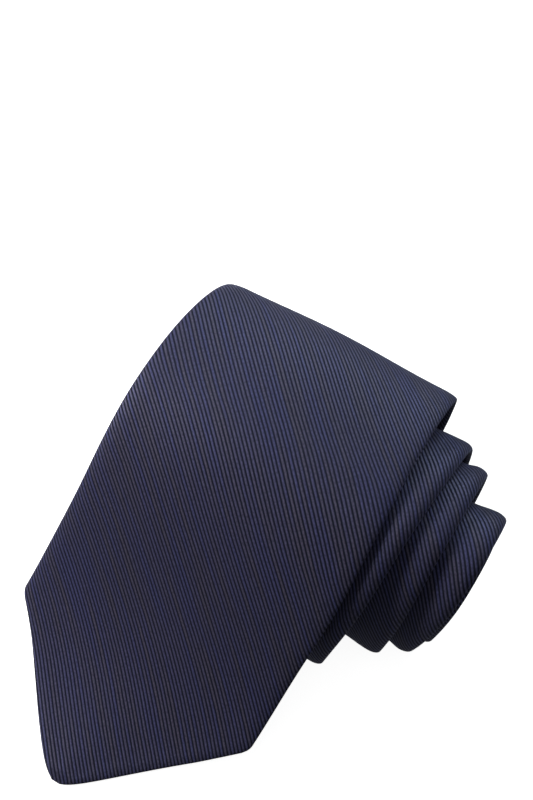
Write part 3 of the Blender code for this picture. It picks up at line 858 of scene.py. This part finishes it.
def flat_of(start, end, width_at):
    """Flat size and area of the cloth between two fold lines, from its width at each length."""
    first, last = (float(np.interp(mark, U_MID, L)) for mark in (start, end))
    at = np.linspace(first, last, 400)
    across = width_at(at)
    return (float(across.max()), last - first), float(across.mean() * (last - first))


def cloth_width(at):
    """Cut width of the cloth that folds into the tube: two faces and two back walls, less the slit."""
    return 4.0 * half_width(at) - 2.0 * opening(at)


for name, start, end, body, node in (
    ("front_blade_cloth", TIP_START, BLADE_END, "lifting", "front_panel_blade"),
    ("front_roll_cloth", BLADE_END, SEAM_TO_NECK, "roll", "front_panel_roll"),
    ("neck_cloth", SEAM_TO_NECK, SEAM_TO_TAIL, "roll", "neck_panel"),
    ("tail_cloth", SEAM_TO_TAIL, TAIL_END, "roll", "tail_panel"),
):
    piece = finish_piece(shell(name, start, end), SATIN, "satin", body, node)
    flat, area = flat_of(start, end, cloth_width)

WOOL_END = TAIL_END - INTERLINING_START
WOOL_LAYERS = (
    ("interlining_blade_wool", INTERLINING_START, BLADE_END, "lifting", "interlining_blade"),
    ("interlining_front_wool", BLADE_END, INTERLINING_CUT, "roll", "interlining_front"),
    ("interlining_tail_wool", INTERLINING_CUT, WOOL_END, "roll", "interlining_tail"),
)
FRONT_LINING = TIPPING_START, FRONT_KITE + TIPPING_PAST_KITE[0]
TAIL_LINING = TAIL_KITE - TIPPING_PAST_KITE[1], TAIL_END - TIPPING_START
LINING_LAYERS = (
    ("tipping_front_lining", *FRONT_LINING, "lifting", "tipping_front"),
    ("tipping_tail_lining", *TAIL_LINING, "roll", "tipping_tail"),
)
for group, margin, levels, material, slot in (
    (WOOL_LAYERS, INTERLINING_MARGIN, INTERLINING_LEVELS, WOOL, "wool"),
    (LINING_LAYERS, TIPPING_MARGIN, TIPPING_LEVELS, LINING, "lining"),
):

    def layer_width(at):
        """Width of this group's layers between the cloth's two edges."""
        return np.maximum(2.0 * half_width(at) - 2.0 * margin, 0.001)

    for name, start, end, body, node in group:
        piece = finish_piece(layer(name, start, end, margin, levels), material, slot, body, node)
        flat, area = flat_of(start, end, layer_width)

keeper = strap("keeper_loop_cloth", *KEEPER_AT, KEEPER_HALF, KEEPER_WALL, KEEPER_BULGE, KEEPER_CLEAR)
finish_piece(keeper, SATIN, "satin", "roll", "keeper_loop")
label = strap("care_label_tape", *LABEL_AT, LABEL_HALF, LABEL_WALL, 0.0, LABEL_CLEAR)
finish_piece(label, TAPE, "tape", "roll", "care_label")


def arch(first, second, level, rise):
    """One stitch: a short thread that rises over the cloth between two points u, x."""
    out = []
    for t in np.linspace(0.0, 1.0, 7):
        u = first[0] + (second[0] - first[0]) * t
        x = first[1] + (second[1] - first[1]) * t
        out.append((u, x, level - rise * np.sin(np.pi * t) ** 0.6))
    return out


def on_strip(length, offset):
    """u and x of a point given by its length and offset on the strip."""
    skew = np.interp(length, L, SKEW)
    u = np.interp(length, L, U_MID) - offset * np.sin(skew)
    return float(u), float(np.interp(length, L, X_MID) + offset * np.cos(skew))


def bar_tack(at, half):
    """A bar of close stitches across the slit in the back."""
    level = -THICKNESS / 2 + 0.00002
    middle = float(x_of("middle", at))
    rows = [at + (i - BAR_STITCHES / 2) * BAR_PITCH for i in range(BAR_STITCHES)]
    return [arch((row, middle - half), (row, middle + half), level, rise=0.0002) for row in rows]


def running(points, stitch, space, level, rise):
    """Stitches with spaces between, along a line of u, x points."""
    points = np.array(points)
    along = np.concatenate(((0.0,), np.cumsum(np.linalg.norm(np.diff(points, axis=0), axis=1))))
    out = []
    at = 0.0
    while at + stitch < along[-1]:
        pair = [tuple(np.interp(d, along, points[:, i]) for i in (0, 1)) for d in (at, at + stitch)]
        out.append(arch(*pair, level, rise))
        at += stitch + space
    return out


def hem_line(lengths, side):
    """Points along one edge of the front lining's kite, just on the cloth."""
    return [on_strip(l, side * (float(opening(l)) + HEM_CLEAR)) for l in lengths]


towards_tip = np.linspace(BLADE_WIDTH / 2, HEM_FROM, 30)
from_tip = np.linspace(HEM_FROM, BLADE_WIDTH / 2, 30)
hem_points = hem_line(towards_tip, -1.0) + hem_line(from_tip, 1.0)
hem_stitches = running(hem_points, *HEM_STITCH, level=-0.00050, rise=0.00024)
hem = threads("tipping_hem_stitches", hem_stitches, FINE_THREAD)
finish_piece(hem, THREAD, "thread", "lifting", "tipping_stitch_front")
tack = threads("bar_tack_front_stitches", bar_tack(TACK_FRONT, TACK_HALF), TACK_THREAD)
finish_piece(tack, THREAD, "thread", "lifting", "bar_tack_front")
tack = threads("bar_tack_tail_stitches", bar_tack(TACK_TAIL, TACK_HALF / 2), LIGHT_THREAD)
finish_piece(tack, THREAD, "thread", "roll", "bar_tack_tail")

slip = []
for at in np.arange(FRONT_KITE + 0.010, TAIL_KITE - 0.010, SLIP_SPACING):
    middle = float(x_of("middle", at))
    pass_over = [(at, middle - SLIP_HALF), (at + SLIP_STITCH, middle + SLIP_HALF)]
    slip.append(arch(*pass_over, level=-THICKNESS / 2 + 0.00008, rise=0.00012))
blade_slip = [path for path in slip if path[0][0] < BLADE_END]
roll_slip = [path for path in slip if path[0][0] >= BLADE_END]
slip_on_blade = threads("slip_stitch_blade", blade_slip, FINE_THREAD)
finish_piece(slip_on_blade, THREAD, "thread", "lifting")
slip_on_roll = threads("slip_stitch_roll", roll_slip, FINE_THREAD)
finish_piece(slip_on_roll, THREAD, "thread", "roll", "slip_stitch")

for name, cut, node in (
    ("piecing_seam_front_thread", SEAM_TO_NECK, "piecing_seam_front"),
    ("piecing_seam_tail_thread", SEAM_TO_TAIL, "piecing_seam_tail"),
):
    start, end = float(x_of("left", cut)) + SEAM_MARGIN, float(x_of("right", cut)) - SEAM_MARGIN
    level = float(np.interp(cut, ROOM_U, FACE)) - 0.00008
    path = [[(cut, x, level) for x in np.linspace(start, end, 40)]]
    finish_piece(threads(name, path, FINE_THREAD), THREAD, "thread", "roll", node)

keeper_middle = float(x_of("middle", sum(KEEPER_AT) / 2))
for name, side, node in (
    ("keeper_tack_left_stitches", -1.0, "keeper_tack_left"),
    ("keeper_tack_right_stitches", 1.0, "keeper_tack_right"),
):
    x = keeper_middle + side * (KEEPER_HALF - 0.0015)
    line = [(u, x) for u in np.linspace(KEEPER_AT[0] + 0.0008, KEEPER_AT[1] - 0.0008, 12)]
    stitches = running(line, *KEEPER_STITCH, level=-THICKNESS / 2 - KEEPER_WALL, rise=0.00018)
    finish_piece(threads(name, stitches, TACK_THREAD), THREAD, "thread", "roll", node)

label_u = LABEL_AT[0] + 0.0015
label_middle = float(x_of("middle", label_u))
inset = 0.0006
label_ends = label_middle - LABEL_HALF + inset, label_middle + LABEL_HALF - inset
line = [(label_u, x) for x in np.linspace(*label_ends, 20)]
stitches = running(line, *LABEL_STITCH, level=-THICKNESS / 2 - 0.00024, rise=0.00014)
label_stitches = threads("care_label_stitches", stitches, LIGHT_THREAD)
finish_piece(label_stitches, THREAD, "thread", "roll", "care_label_stitch")


# ---------------------------------------------------------------- floor, light and camera

def glowing_white(name, strength, specular):
    """White paper that gives off light of its own, so that it shows white in the tie's soft light."""
    material = bpy.data.materials.new(name)
    material.use_nodes = True
    inputs = material.node_tree.nodes["Principled BSDF"].inputs
    inputs["Base Color"].default_value = (0.86, 0.86, 0.86, 1.0)
    inputs["Roughness"].default_value = 0.9
    inputs["Specular IOR Level"].default_value = specular
    inputs["Emission Color"].default_value = (1.0, 1.0, 1.0, 1.0)
    inputs["Emission Strength"].default_value = strength
    return material


def stage_piece(name, verts, faces, material, unseen_by):
    """A piece of the studio, which the listed kinds of ray pass by."""
    mesh = bpy.data.meshes.new(name)
    mesh.from_pydata(verts, [], faces)
    mesh.materials.append(material)
    made = linked(name, mesh)
    for ray in unseen_by:
        setattr(made, "visible_" + ray, False)


def floor():
    """A pale sheet of backdrop under the tie."""
    steps = np.linspace(-6.0, 6.0, 5)
    verts = [(x, y, -0.0001) for y in steps for x in steps]
    corners = [r * 5 + c for r in range(4) for c in range(4)]
    faces = [(a, a + 1, a + 6, a + 5) for a in corners]
    paper = glowing_white("backdrop_paper", 0.90, 0.1)
    stage_piece("floor", verts, faces, paper, ("diffuse", "glossy"))


def backdrop():
    """A white cove far round the tie: seen by the camera only, it sheds and stops no light."""
    angles = np.linspace(0.0, 2.0 * np.pi, 49)[:-1]
    rise = ((5.0, -0.0002), (5.5, 0.15), (5.85, 0.6), (6.0, 1.2), (6.0, 6.0))
    verts = [(radius * np.cos(a), radius * np.sin(a), z) for radius, z in rise for a in angles]
    count = len(angles)
    faces = []
    for low in range(0, (len(rise) - 1) * count, count):
        high = low + count
        for i in range(count):
            k = (i + 1) % count
            faces.append((low + i, low + k, high + k, high + i))
    cove = glowing_white("backdrop_cove", 1.0, 0.5)
    all_but_camera = ("diffuse", "glossy", "transmission", "volume_scatter", "shadow")
    stage_piece("backdrop", verts, faces, cove, all_but_camera)


def softbox(name, place_at, look_at, size, power, colour):
    """A large soft area light that looks at a point."""
    data = bpy.data.lights.new(name, "AREA")
    data.shape = "RECTANGLE"
    data.size, data.size_y = size
    data.energy = power
    data.color = colour
    lamp = linked(name, data)
    lamp.location = place_at
    lamp.rotation_mode = "QUATERNION"
    lamp.rotation_quaternion = (Vector(look_at) - Vector(place_at)).to_track_quat("-Z", "Y")


floor()
backdrop()
KEY_AT, KEY_LOOKS = (-0.315, -0.04, 0.235), (-0.02, 0.0, 0.03)
BACK_AT, BACK_LOOKS = (0.0, 0.36, 0.19), (-0.01, 0.03, 0.05)
TOP_AT, TOP_LOOKS = (0.0, -0.15, 1.25), (0.0, 0.0, 0.0)
softbox("key_softbox", KEY_AT, KEY_LOOKS, (0.16, 0.16), 1.72, (1.0, 0.95, 0.90))
softbox("back_softbox", BACK_AT, BACK_LOOKS, (0.26, 0.12), 0.70, (0.84, 0.95, 1.0))
softbox("top_softbox", TOP_AT, TOP_LOOKS, (1.0, 1.0), 0.9, (1.0, 1.0, 1.0))

world = bpy.data.worlds.new("studio")
world.use_nodes = True
bpy.context.scene.world = world
sky = world.node_tree.nodes["Background"].inputs
sky["Color"].default_value = (1.0, 1.0, 1.0, 1.0)
sky["Strength"].default_value = 0.125
bpy.context.scene.view_settings.view_transform = "Standard"

AZIMUTH, ELEVATION = np.radians(30.2), np.radians(70.9)
TARGET = Vector((-0.02035, 0.0191, 0.0))
DISTANCE = 0.345
BACKWARD = Vector((
    np.sin(AZIMUTH) * np.cos(ELEVATION),
    -np.cos(AZIMUTH) * np.cos(ELEVATION),
    np.sin(ELEVATION),
))
lens = bpy.data.cameras.new("camera")
lens.lens = 47.35
lens.sensor_width = 36.0
lens.shift_x = 0.0598
lens.shift_y = 0.1481
lens.clip_start = 0.01
lens.clip_end = 50.0
camera = linked("camera", lens)
camera.location = TARGET + BACKWARD * DISTANCE
camera.rotation_mode = "QUATERNION"
camera.rotation_quaternion = (-BACKWARD).to_track_quat("-Z", "Y")
bpy.context.scene.camera = camera
